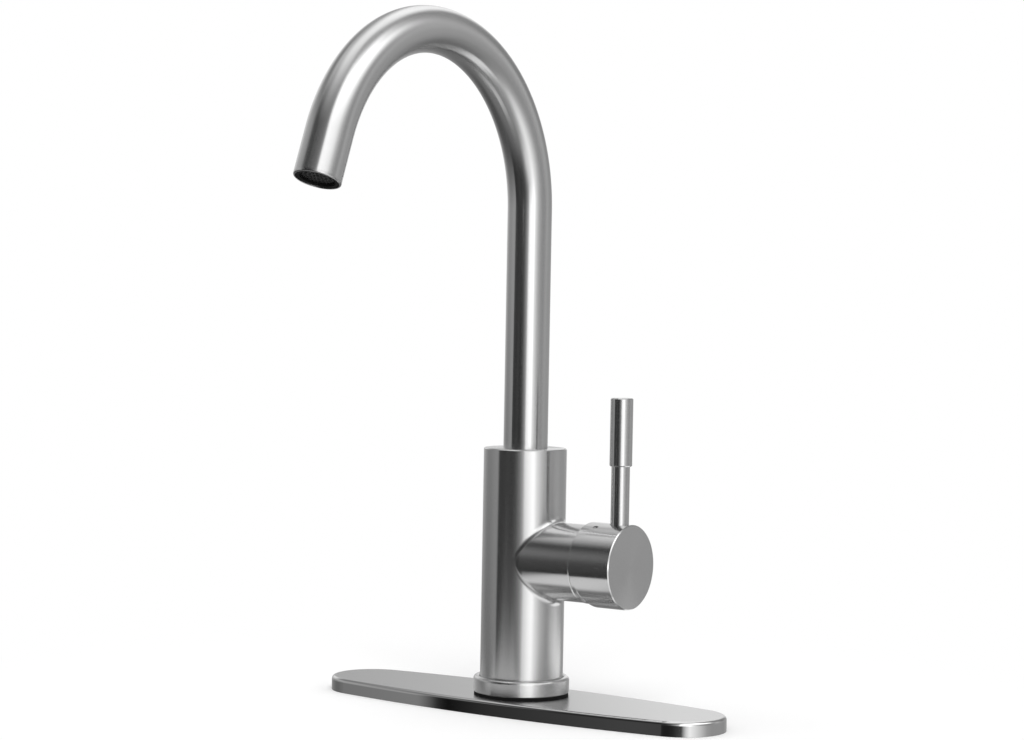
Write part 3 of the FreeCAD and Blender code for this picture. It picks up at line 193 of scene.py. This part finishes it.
# What the metal sees round it, in soft boxes, cards and dark gaps: for some elevations in
# degrees, grey levels by direction. Directions are degrees to the right of the camera, and 0 is
# the side that the camera stands on. The table began as greys read off the steel in the
# photograph, by the direction mirrored there and divided by the steel's own grey. Part of it was
# then changed.
SURROUNDINGS = {
    -60: [
        (-180, 0.22), (-120, 0.26), (-60, 0.26), (-24, 0.34), (40, 0.42), (72, 0.34),
        (120, 0.26), (150, 0.16), (180, 0.24),
    ],
    -40: [
        (-180, 0.22), (-140, 0.11), (-100, 0.12), (-60, 0.18), (-12, 0.28), (12, 0.60),
        (36, 1.3), (60, 0.95), (72, 0.45), (84, 0.28), (108, 0.22), (156, 0.16), (180, 0.22),
    ],
    -24: [
        (-180, 0.26), (-156, 0.20), (-130, 0.10), (-84, 0.10), (-76, 0.03), (-30, 0.03),
        (-18, 0.25), (-8, 0.80), (0, 1.4), (32, 1.35), (60, 0.75), (72, 0.48), (84, 0.32),
        (108, 0.34), (122, 0.20), (180, 0.26),
    ],
    -9: [
        (-180, 0.50), (-156, 0.32), (-124, 0.20), (-110, 0.20), (-80, 0.32), (-77, 0.0),
        (-71, 0.04), (-50, 0.09), (-40, 0.02), (2, 0.02), (14, 1.0), (22, 1.4), (34, 1.15),
        (54, 0.75), (66, 0.52), (80, 0.44), (112, 0.44), (130, 0.40), (180, 0.50),
    ],
    0: [
        (-180, 0.75), (-172, 0.50), (-156, 0.62), (-126, 0.36), (-106, 0.38), (-80, 0.55),
        (-77, 0.02), (-48, 0.08), (-34, 0.06), (-24, 0.15), (-12, 0.50), (-5, 1.0), (-1, 2.6),
        (24, 2.7), (32, 1.2), (46, 0.45), (66, 0.34), (80, 0.36), (94, 0.50), (130, 0.48),
        (156, 0.45), (167, 0.9), (176, 1.1), (180, 0.75),
    ],
    18: [
        (-180, 0.80), (-173, 0.50), (-166, 1.1), (-148, 0.95), (-130, 0.62), (-96, 0.60),
        (-86, 0.40), (-79, 0.32), (-70, 0.22), (-62, 0.02), (-40, 0.01), (-24, 0.12),
        (-4, 0.7), (2, 1.0), (44, 1.0), (55, 0.6), (70, 0.40), (90, 0.42), (104, 0.75),
        (112, 0.60), (128, 0.28), (156, 0.36), (167, 0.9), (176, 1.1), (180, 0.80),
    ],
    40: [
        (-180, 1.3), (-168, 0.40), (-140, 0.30), (-104, 0.30), (-92, 0.28), (-87, 0.02),
        (-40, 0.08), (-12, 0.20), (-4, 0.5), (1, 1.9), (40, 1.9), (60, 2.3), (84, 2.3),
        (96, 1.0), (104, 0.34), (150, 0.38), (164, 1.4), (180, 1.3),
    ],
    56: [
        (-180, 1.6), (-164, 1.0), (-148, 0.55), (-124, 0.90), (-104, 0.75), (-84, 0.45),
        (-60, 0.55), (-12, 0.38), (2, 0.60), (16, 2.4), (72, 2.4), (90, 0.60), (116, 0.30),
        (134, 0.32), (150, 1.3), (160, 1.6), (180, 1.6),
    ],
    72: [
        (-180, 1.4), (-90, 1.35), (-60, 1.15), (-12, 0.90), (20, 0.58), (90, 0.40),
        (118, 0.50), (140, 1.35), (180, 1.4),
    ],
}
LEVEL_TOP = 2.7
# White cards lying in front of and behind the plate: low and high corner, and level.
CARDS = {
    "front_card": ((-0.060, -0.150), (0.040, -0.0335), 0.9),
    "back_card": ((0.030, 0.035), (0.200, 0.200), 1.4),
}
CARD_HEIGHT = 0.009
CARD_FADE = 0.018
# Soft boxes: place, width and height, and watts.
LAMPS = {
    "key": ((1.3, -1.6, 2.2), (1.6, 1.2), 26.0),
    "fill": ((-1.8, -0.6, 1.8), (1.6, 1.6), 8.0),
}
LAMP_TARGET = (0.0, 0.0, 0.1)


# --------------------------------------------------------------- node help

class Shader:
    """A material's or world's node tree, with short ways to add and link nodes."""

    def __init__(self, tree):
        self.tree = tree
        tree.nodes.clear()

    def add(self, kind, **settings):
        node = self.tree.nodes.new(kind)
        for name, value in settings.items():
            setattr(node, name, value)
        return node

    def link(self, source, target):
        self.tree.links.new(source, target)

    def feed(self, socket, value):
        """Link a socket, or set its own value when a plain number or colour comes in."""
        if isinstance(value, bpy.types.NodeSocket):
            self.link(value, socket)
        else:
            socket.default_value = value

    def math(self, operation, *values):
        node = self.add("ShaderNodeMath", operation=operation)
        for socket, value in zip(node.inputs, values):
            self.feed(socket, value)
        return node.outputs[0]

    def vector(self, operation, *values):
        node = self.add("ShaderNodeVectorMath", operation=operation)
        for socket, value in zip(node.inputs, values):
            self.feed(socket, value)
        return node.outputs["Value" if operation == "LENGTH" else "Vector"]

    def combine(self, x, y, z):
        node = self.add("ShaderNodeCombineXYZ")
        for socket, value in zip(node.inputs, (x, y, z)):
            self.feed(socket, value)
        return node.outputs[0]

    def split(self, vector):
        node = self.add("ShaderNodeSeparateXYZ")
        self.link(vector, node.inputs[0])
        return node.outputs

    def step(self, value, low, high):
        """A smooth rise from 0 at low to 1 at high."""
        node = self.add("ShaderNodeMapRange", interpolation_type="SMOOTHSTEP")
        self.feed(node.inputs["Value"], value)
        node.inputs["From Min"].default_value = low
        node.inputs["From Max"].default_value = high
        return node.outputs[0]

    def fall(self, value, low, high):
        """A smooth fall from 1 at low to 0 at high."""
        return self.math("SUBTRACT", 1.0, self.step(value, low, high))

    def remap(self, value, low, high):
        """Stretch a 0 to 1 value to low to high."""
        node = self.add("ShaderNodeMapRange")
        self.feed(node.inputs["Value"], value)
        self.feed(node.inputs["To Min"], low)
        self.feed(node.inputs["To Max"], high)
        return node.outputs[0]

    def mix(self, factor, first, second, kind="FLOAT"):
        node = self.add("ShaderNodeMix", data_type=kind)
        sockets = {"FLOAT": (2, 3), "VECTOR": (4, 5), "RGBA": (6, 7)}[kind]
        outputs = {"FLOAT": 0, "VECTOR": 1, "RGBA": 2}
        self.feed(node.inputs[0], factor)
        self.feed(node.inputs[sockets[0]], first)
        self.feed(node.inputs[sockets[1]], second)
        return node.outputs[outputs[kind]]

    def noise(self, vector, scale, detail=3.0, roughness=0.5):
        node = self.add("ShaderNodeTexNoise")
        self.link(vector, node.inputs["Vector"])
        node.inputs["Scale"].default_value = scale
        node.inputs["Detail"].default_value = detail
        node.inputs["Roughness"].default_value = roughness
        return node.outputs["Fac"]

    def ramp(self, value, stops):
        """A grey ramp through (position, level) stops."""
        node = self.add("ShaderNodeValToRGB")
        self.link(value, node.inputs[0])
        elements = node.color_ramp.elements
        while len(elements) < len(stops):
            elements.new(1.0)
        for element, (position, level) in zip(elements, stops):
            element.position = position
            element.color = (*grey(level), 1.0)
        return node.outputs["Color"]

    def tint(self, value, dark, light):
        """Blend two colours by a 0 to 1 value."""
        return self.mix(value, (*dark, 1.0), (*light, 1.0), kind="RGBA")

    def bump(self, height, distance):
        node = self.add("ShaderNodeBump")
        self.link(height, node.inputs["Height"])
        node.inputs["Distance"].default_value = distance
        return node.outputs[0]

    def place(self):
        """The place on the object, in metres."""
        return self.add("ShaderNodeTexCoord").outputs["Object"]

    def normal(self):
        return self.add("ShaderNodeNewGeometry").outputs["Normal"]

    def glow(self, strength):
        node = self.add("ShaderNodeEmission")
        node.inputs["Strength"].default_value = strength
        return node

    def blend(self, factor, first, second):
        """Mix two surfaces."""
        node = self.add("ShaderNodeMixShader")
        for socket, source in zip(node.inputs, (factor, first, second)):
            self.link(source, socket)
        return node.outputs[0]

    def show(self, surface, output="ShaderNodeOutputMaterial"):
        self.link(surface, self.add(output).inputs[0])

    def surface(self, **inputs):
        """The principled surface, with constants on its own sockets."""
        node = self.add("ShaderNodeBsdfPrincipled")
        for name, value in inputs.items():
            self.feed(node.inputs[name.replace("_", " ")], value)
        self.show(node.outputs[0])


def new_material(name):
    material = bpy.data.materials.new(name)
    material.use_nodes = True
    return material, Shader(material.node_tree)


def dress(material, *names):
    """Give CAD nodes their finish."""
    for name in names:
        slots = NODES[name].data.materials
        slots.clear()
        slots.append(material)


def add_to_scene(name, data):
    thing = bpy.data.objects.new(name, data)
    bpy.context.scene.collection.objects.link(thing)
    return thing


# ----------------------------------------------------------- brushed steel

def stroke_pattern(shader, along, place):
    """Fine brushing: quick changes along one coordinate, slow ones along the strokes."""
    x, y, z = shader.split(place)
    across = shader.math("MULTIPLY", along, STROKES_PER_METRE)
    drift_one = shader.math("MULTIPLY", shader.math("ADD", x, y), STROKE_DRIFT)
    drift_two = shader.math("MULTIPLY", shader.math("SUBTRACT", z, y), STROKE_DRIFT)
    drawn_out = shader.combine(across, drift_one, drift_two)
    return shader.noise(drawn_out, 1.0, STROKE_DETAIL, STROKE_GRIT)


def steel_colour(shader, strokes, patches, patch_share):
    """A grey that follows the strokes and broad patches."""
    fine = shader.math("MULTIPLY", strokes, 1 - patch_share)
    shade = shader.math("MULTIPLY_ADD", patches, patch_share, fine)
    return shader.tint(shade, STEEL_DARK, STEEL_LIGHT)


def finish_steel(shader, strokes, place, tangent, roughness, stretch):
    """Satin steel whose highlights are drawn out across the strokes."""
    patches = shader.noise(place, PATCHES_PER_METRE)
    shader.surface(
        Base_Color=steel_colour(shader, strokes, patches, PATCH_SHARE),
        Metallic=1.0,
        Roughness=shader.remap(strokes, *roughness),
        Anisotropic=stretch,
        Tangent=tangent,
        Normal=shader.bump(strokes, STROKE_DEPTH),
    )


def end_face_mask(shader, axis):
    """1 on faces square to the axis, where turning leaves rings instead of bands."""
    along = shader.split(shader.normal())["XYZ".index(axis)]
    return shader.step(shader.math("ABSOLUTE", along), *END_FACE_SLOPE)


def radial(shader, place, axis, centre):
    """The direction away from an axis of turning."""
    offset = shader.vector("SUBTRACT", place, centre)
    keep = tuple(0.0 if letter == axis else 1.0 for letter in "XYZ")
    return shader.vector("MULTIPLY", offset, keep)


def distance_from_axis(shader, place, axis, centre):
    return shader.vector("LENGTH", radial(shader, place, axis, centre))


def turned_steel(name, axis, centre, roughness=BODY_ROUGHNESS, stretch=BODY_STRETCH):
    """Steel brushed round an axis: bands on the side, rings on the end faces."""
    material, shader = new_material(name)
    place = shader.place()
    ends = end_face_mask(shader, axis)
    on_side = shader.split(place)["XYZ".index(axis)]
    on_end = distance_from_axis(shader, place, axis, centre)
    strokes = stroke_pattern(shader, shader.mix(ends, on_side, on_end), place)
    direction = tuple(1.0 if letter == axis else 0.0 for letter in "XYZ")
    outward = radial(shader, place, axis, centre)
    tangent = shader.mix(ends, direction, outward, kind="VECTOR")
    finish_steel(shader, strokes, place, tangent, roughness, stretch)
    return material


def body_steel(handle_height):
    """The upright is brushed round Z and its side housing round X."""
    material, shader = new_material("brushed_body")
    place = shader.place()
    x, _, z = shader.split(place)
    level = shader.math("ABSOLUTE", shader.math("SUBTRACT", z, handle_height))
    near = shader.fall(level, *HOUSING_HALF_HEIGHT)
    away = shader.step(distance_from_axis(shader, place, "Z", ORIGIN), *HOUSING_FROM_AXIS)
    housing = shader.math("MULTIPLY", away, near)
    tangent = shader.mix(housing, ALONG_Z, ALONG_X, kind="VECTOR")
    top = shader.step(z, *UPRIGHT_TOP)
    ends = shader.math("MULTIPLY", end_face_mask(shader, "Z"), top)
    tangent = shader.mix(ends, tangent, radial(shader, place, "Z", ORIGIN), kind="VECTOR")
    strokes = stroke_pattern(shader, shader.mix(housing, z, x), place)
    low, high = (shader.mix(housing, *pair) for pair in zip(BODY_ROUGHNESS, HANDLE_ROUGHNESS))
    stretch = shader.mix(housing, BODY_STRETCH, HANDLE_STRETCH)
    finish_steel(shader, strokes, place, tangent, (low, high), stretch)
    return material


def tube_steel():
    """Brushed round the tube all the way along its bend; U is the way along the tube."""
    material, shader = new_material("brushed_tube")
    place = shader.place()
    travel = shader.split(shader.add("ShaderNodeTexCoord").outputs["UV"])[0]
    strokes = stroke_pattern(shader, travel, place)
    tangent = shader.add("ShaderNodeTangent", direction_type="UV_MAP", uv_map="travel")
    finish_steel(shader, strokes, place, tangent.outputs[0], TUBE_ROUGHNESS, TUBE_STRETCH)
    return material


def plate_steel():
    """Top brushed lengthways; the rolled edge is buffed smooth."""
    material, shader = new_material("brushed_plate")
    place = shader.place()
    _, y, _ = shader.split(place)
    top = shader.step(shader.split(shader.normal())[2], *PLATE_TOP_SLOPE)
    strokes = stroke_pattern(shader, y, place)
    patches = shader.noise(place, PLATE_PATCHES_PER_METRE)
    brushed = shader.remap(strokes, *PLATE_BRUSHED)
    buffed = shader.remap(patches, *PLATE_BUFFED)
    shader.surface(
        Base_Color=steel_colour(shader, strokes, patches, PLATE_PATCH_SHARE),
        Metallic=1.0,
        Roughness=shader.mix(top, buffed, brushed),
        Anisotropic=shader.math("MULTIPLY", top, PLATE_STRETCH),
        Tangent=shader.combine(0.0, 1.0, 0.0),
        Normal=shader.bump(shader.math("MULTIPLY", strokes, top), STROKE_DEPTH),
    )
    return material


def plain_finish(name, finish):
    """A moulded, cast or machined surface with grain, for the parts that show less."""
    material, shader = new_material(name)
    place = shader.place()
    clouds = shader.noise(place, finish["grains_per_metre"] / CLOUD_GRAINS)
    grain = shader.noise(place, finish["grains_per_metre"], GRAIN_DETAIL, GRAIN_GRIT)
    shader.surface(
        Base_Color=shader.tint(clouds, finish["dark"], finish["light"]),
        Metallic=finish.get("metallic", 0.0),
        Roughness=shader.remap(grain, *finish["roughness"]),
        Sheen_Weight=finish.get("sheen", 0.0),
        Specular_IOR_Level=finish.get("gloss", PLAIN_GLOSS),
        Normal=shader.bump(grain, finish["grain_depth"]),
    )
    return material


# -------------------------------------------------------------- spout tube

def spout_path():
    """The tube's radius, the length of its middle line, and a function for places on it."""
    low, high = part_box("spout_tube")
    radius = high.x
    start = low.z
    bend_start = high.z - radius - BEND_RADIUS
    riser = bend_start - start
    sweep = math.pi - TIP_LEAN
    bend = BEND_RADIUS * sweep
    total = riser + bend + TIP_LENGTH

    def at(travel):
        """The centre, and the direction away from the bend's middle."""
        if travel < riser:
            return Vector((0, 0, start + travel)), Vector((0, 1, 0))
        turn = min((travel - riser) / BEND_RADIUS, sweep)
        outward = Vector((0, math.cos(turn), math.sin(turn)))
        forward = Vector((0, -math.sin(turn), math.cos(turn)))
        centre = Vector((0, -BEND_RADIUS, bend_start)) + outward * BEND_RADIUS
        return centre + forward * max(travel - riser - bend, 0.0), outward

    return radius, total, at


def swept_mesh(name, rings, at):
    """A closed shell through (travel, radius) rings round the tube's middle line."""
    vertices = []
    for travel, ring_radius in rings:
        centre, outward = at(travel)
        for side in range(TUBE_SIDES):
            angle = FULL_TURN * side / TUBE_SIDES
            spoke = outward * math.cos(angle) + Vector(ALONG_X) * math.sin(angle)
            vertices.append(centre + spoke * ring_radius)
    faces = []
    for number in range(len(rings)):
        here = number * TUBE_SIDES
        there = (number + 1) % len(rings) * TUBE_SIDES
        for side in range(TUBE_SIDES):
            turn = (side + 1) % TUBE_SIDES
            faces.append((here + side, here + turn, there + turn, there + side))
    mesh = bpy.data.meshes.new(name)
    mesh.from_pydata(vertices, [], faces)
    mesh.polygons.foreach_set("use_smooth", [True] * len(mesh.polygons))
    mesh.set_sharp_from_angle(angle=SHARP_ANGLE)
    return mesh


def lay_out_travel(mesh, rings):
    """Texture coordinates: U along the tube in metres, V once round it."""
    corners = []
    for number, (travel, _) in enumerate(rings):
        ahead = rings[(number + 1) % len(rings)][0]
        for side in range(TUBE_SIDES):
            near, far = side / TUBE_SIDES, (side + 1) / TUBE_SIDES
            corners += [(travel, near), (travel, far), (ahead, far), (ahead, near)]
    layer = mesh.uv_layers.new(name="travel")
    for loop, corner in zip(layer.data, corners):
        loop.uv = corner


def lip_rounding(total, middle, rounding, start):
    """A quarter turn of rings round the circle of the lip whose middle has that radius."""
    rings = []
    for number in range(LIP_STEPS + 1):
        angle = start - math.pi / 2 * number / LIP_STEPS
        inset = rounding * (1 - math.sin(angle))
        rings.append((total - inset, middle + rounding * math.cos(angle)))
    return rings


def tube_rings(radius, total):
    """(travel, radius) of every ring: up the bore, out to the lip and back down the outside."""
    count = math.ceil(total / TUBE_STATION)
    stations = [total * number / count for number in range(count)]
    bore = radius - TUBE_WALL
    mouth = radius - MOUTH_WALL
    mouth_floor = total - MOUTH_DEPTH
    inside, outside = LIP_ROUNDING_INSIDE, LIP_ROUNDING_OUTSIDE
    rings = [(travel, bore) for travel in stations if travel < mouth_floor]
    rings += [(mouth_floor, bore), (mouth_floor, mouth)]
    rings += lip_rounding(total, mouth + inside, inside, math.pi)
    rings += lip_rounding(total, radius - outside, outside, math.pi / 2)
    rings += [(travel, radius) for travel in reversed(stations) if travel < mouth_floor]
    return rings


def make_spout_tube():
    radius, total, at = spout_path()
    rings = tube_rings(radius, total)
    mesh = swept_mesh("spout_tube_fine", rings, at)
    lay_out_travel(mesh, rings)
    mesh.materials.append(tube_steel())
    tube = add_to_scene("spout_tube_fine", mesh)
    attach(tube, "spout")
    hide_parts("spout_tube")


def make_mouth_shade_ring():
    """A black ring in the aerator's plastic filling the tube's mouth: painted shade for the dark
    recess.
    """
    radius, total, at = spout_path()
    outer = radius - MOUTH_WALL - SHADE_RING_PLAY
    inner = outer - SHADE_RING_WIDTH
    front = total - SHADE_RING_SET_BACK
    back = total - MOUTH_DEPTH + SHADE_RING_PLAY
    rings = [
        (back, inner), (front - SHADE_RING_BEVEL, inner), (front, inner + SHADE_RING_BEVEL),
        (front, outer - SHADE_RING_BEVEL), (front - SHADE_RING_BEVEL, outer), (back, outer),
    ]
    mesh = swept_mesh("mouth_shade_ring", rings, at)
    # Painted shade: the aerator's black plastic stands in for the shadow in the recess behind the
    # lip.
    mesh.materials.append(NODES["aerator_housing"].data.materials[0])
    shade_ring = add_to_scene("mouth_shade_ring", mesh)
    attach(shade_ring, "spout")


# ------------------------------------------------------------------ studio

def make_camera():
    sin_yaw, cos_yaw = math.sin(CAMERA_YAW), math.cos(CAMERA_YAW)
    sin_pitch, cos_pitch = math.sin(CAMERA_PITCH), math.cos(CAMERA_PITCH)
    forward = Vector((-sin_yaw * cos_pitch, cos_yaw * cos_pitch, sin_pitch))
    right = Vector((cos_yaw, sin_yaw, 0.0))
    up = right.cross(forward)
    rolled_right = right * math.cos(CAMERA_ROLL) + up * math.sin(CAMERA_ROLL)
    rolled_up = up * math.cos(CAMERA_ROLL) - right * math.sin(CAMERA_ROLL)
    data = bpy.data.cameras.new("camera")
    data.sensor_width = SENSOR_WIDTH_MM
    data.lens = FOCAL_PIXELS * SENSOR_WIDTH_MM / FRAME_WIDTH_PIXELS
    data.clip_start = CAMERA_CLIP_START
    data.clip_end = CAMERA_CLIP_END
    camera = add_to_scene("camera", data)
    turn = Matrix((rolled_right, rolled_up, -forward)).transposed()
    camera.matrix_world = Matrix.Translation(CAMERA_PLACE) @ turn.to_4x4()
    bpy.context.scene.camera = camera


def stage_for_mirrors(thing, material):
    """Only mirror-like surfaces see this piece, and it lights nothing else."""
    material.cycles.emission_sampling = "NONE"
    thing.data.materials.append(material)
    thing.visible_camera = False
    thing.visible_diffuse = False
    thing.visible_transmission = False
    thing.visible_volume_scatter = False
    thing.visible_shadow = False


def make_dome():
    """The surroundings that the metal mirrors, on a ball round the set."""
    bpy.ops.mesh.primitive_uv_sphere_add(
        segments=DOME_SEGMENTS, ring_count=DOME_RINGS, radius=DOME_RADIUS, location=DOME_CENTRE)
    dome = bpy.context.object
    dome.name = "reflection_dome"
    dome.rotation_euler.z = CAMERA_YAW - math.pi / 2
    material, shader = new_material("reflection_dome")
    x, y, z = shader.split(shader.vector("NORMALIZE", shader.place()))
    turn = shader.math("DIVIDE", shader.math("ARCTAN2", y, x), FULL_TURN)
    share = shader.math("ADD", turn, 0.5)
    rise = shader.math("MULTIPLY", shader.math("ARCSINE", z), FULL_TURN_DEGREES / FULL_TURN)

    def band(levels):
        stops = [(angle / FULL_TURN_DEGREES + 0.5, level / LEVEL_TOP) for angle, level in levels]
        return shader.ramp(share, stops)

    bands = sorted(SURROUNDINGS.items())
    light = band(bands[0][1])
    for (low, _), (high, levels) in zip(bands, bands[1:]):
        light = shader.mix(shader.step(rise, low, high), light, band(levels), kind="RGBA")
    glow = shader.glow(LEVEL_TOP)
    shader.link(light, glow.inputs["Color"])
    shader.show(glow.outputs[0])
    stage_for_mirrors(dome, material)


def soft_span(shader, value, low, high):
    """1 between two ends, fading to 0 just before them."""
    rise = shader.step(value, low, low + CARD_FADE)
    return shader.math("MULTIPLY", rise, shader.fall(value, high - CARD_FADE, high))


def make_card(name, corner_low, corner_high, level):
    """A white card with soft edges, lying face up just above the table."""
    (x_low, y_low), (x_high, y_high) = corner_low, corner_high
    corners = [(x_low, y_low), (x_high, y_low), (x_high, y_high), (x_low, y_high)]
    mesh = bpy.data.meshes.new(name)
    mesh.from_pydata([(x, y, CARD_HEIGHT) for x, y in corners], [], [(0, 1, 2, 3)])
    material, shader = new_material(name)
    x, y, _ = shader.split(shader.place())
    across, along = soft_span(shader, x, x_low, x_high), soft_span(shader, y, y_low, y_high)
    inside = shader.math("MULTIPLY", across, along)
    under = shader.add("ShaderNodeNewGeometry").outputs["Backfacing"]
    seen = shader.math("MULTIPLY", inside, shader.math("SUBTRACT", 1.0, under))
    clear = shader.add("ShaderNodeBsdfTransparent").outputs[0]
    shader.show(shader.blend(seen, clear, shader.glow(level).outputs[0]))
    stage_for_mirrors(add_to_scene(name, mesh), material)


def seen_directly(shader):
    """1 for what the camera, a mirror or clear glass sees, 0 for light that falls on things."""
    path = shader.add("ShaderNodeLightPath").outputs
    seen = shader.math("MAXIMUM", path["Is Camera Ray"], path["Is Glossy Ray"])
    return shader.math("MAXIMUM", seen, path["Is Transmission Ray"])


def make_world():
    """White to look at, and a little less as light."""
    world = bpy.data.worlds.new("studio")
    world.use_nodes = True
    bpy.context.scene.world = world
    shader = Shader(world.node_tree)
    background = shader.add("ShaderNodeBackground")
    background.inputs["Color"].default_value = (*grey(WHITE_LEVEL), 1.0)
    level = shader.remap(seen_directly(shader), AMBIENT_LEVEL, WHITE_LEVEL)
    shader.link(level, background.inputs["Strength"])
    shader.show(background.outputs[0], "ShaderNodeOutputWorld")
    world.cycles.sampling_method = "NONE"


def make_floor():
    """A pale table top that fades into the white background away from the part."""
    bpy.ops.mesh.primitive_circle_add(vertices=FLOOR_SIDES, radius=FLOOR_RADIUS, fill_type="NGON")
    floor = bpy.context.object
    floor.name = "studio_floor"
    floor.location.z = -FLOOR_DROP
    material, shader = new_material("studio_floor")
    place = shader.place()
    far = shader.step(distance_from_axis(shader, place, "Z", ORIGIN), *FLOOR_FADE)
    fade = shader.math("MULTIPLY", far, seen_directly(shader))
    paper = shader.tint(shader.noise(place, PAPER_PER_METRE), FLOOR_DARK, FLOOR_LIGHT)
    matt = shader.add("ShaderNodeBsdfDiffuse")
    shader.link(paper, matt.inputs["Color"])
    shader.show(shader.blend(fade, matt.outputs[0], shader.glow(WHITE_LEVEL).outputs[0]))
    floor.data.materials.append(material)
    floor.visible_glossy = False


def make_lamp(name, place, size, power):
    """A soft box that lights paper, rubber and plastic; the dome stands for it in the metal."""
    data = bpy.data.lights.new(name, "AREA")
    data.shape = "RECTANGLE"
    data.size, data.size_y = size
    data.energy = power
    lamp = add_to_scene(name, data)
    lamp.location = place
    aim = Vector(LAMP_TARGET) - Vector(place)
    lamp.rotation_euler = aim.to_track_quat("-Z", "Y").to_euler()
    lamp.visible_glossy = False


def make_studio():
    make_camera()
    make_world()
    make_floor()
    make_dome()
    for name, (corner_low, corner_high, level) in CARDS.items():
        make_card(name, corner_low, corner_high, level)
    for name, (place, size, power) in LAMPS.items():
        make_lamp(name, place, size, power)
    bpy.context.scene.view_settings.view_transform = "Standard"


# ---------------------------------------------------------------- assembly

def box_middle(name):
    low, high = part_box(name)
    return (low + high) / 2


def dress_nodes():
    disc, grip = box_middle("fixed_disc"), box_middle("lever_grip")
    handle_axis = (0.0, disc.y, disc.z)
    lever_axis = (grip.x, grip.y, 0.0)
    dress(body_steel(disc.z), "faucet_body")
    dress(turned_steel("brushed_upright", "Z", ORIGIN), "base_ring")
    handle = turned_steel("brushed_handle", "X", handle_axis, HANDLE_ROUGHNESS, HANDLE_STRETCH)
    dress(handle, "handle_hub", "bonnet_cap")
    lever = turned_steel("brushed_lever", "Z", lever_axis, TUBE_ROUGHNESS, TUBE_STRETCH)
    dress(lever, "lever_rod", "lever_grip")
    dress(plate_steel(), "deck_plate")
    for name, finish in PLAIN_FINISHES.items():
        dress(plain_finish(name, finish), *finish["nodes"])


make_studio()
dress_nodes()
make_spout_tube()
make_mouth_shade_ring()
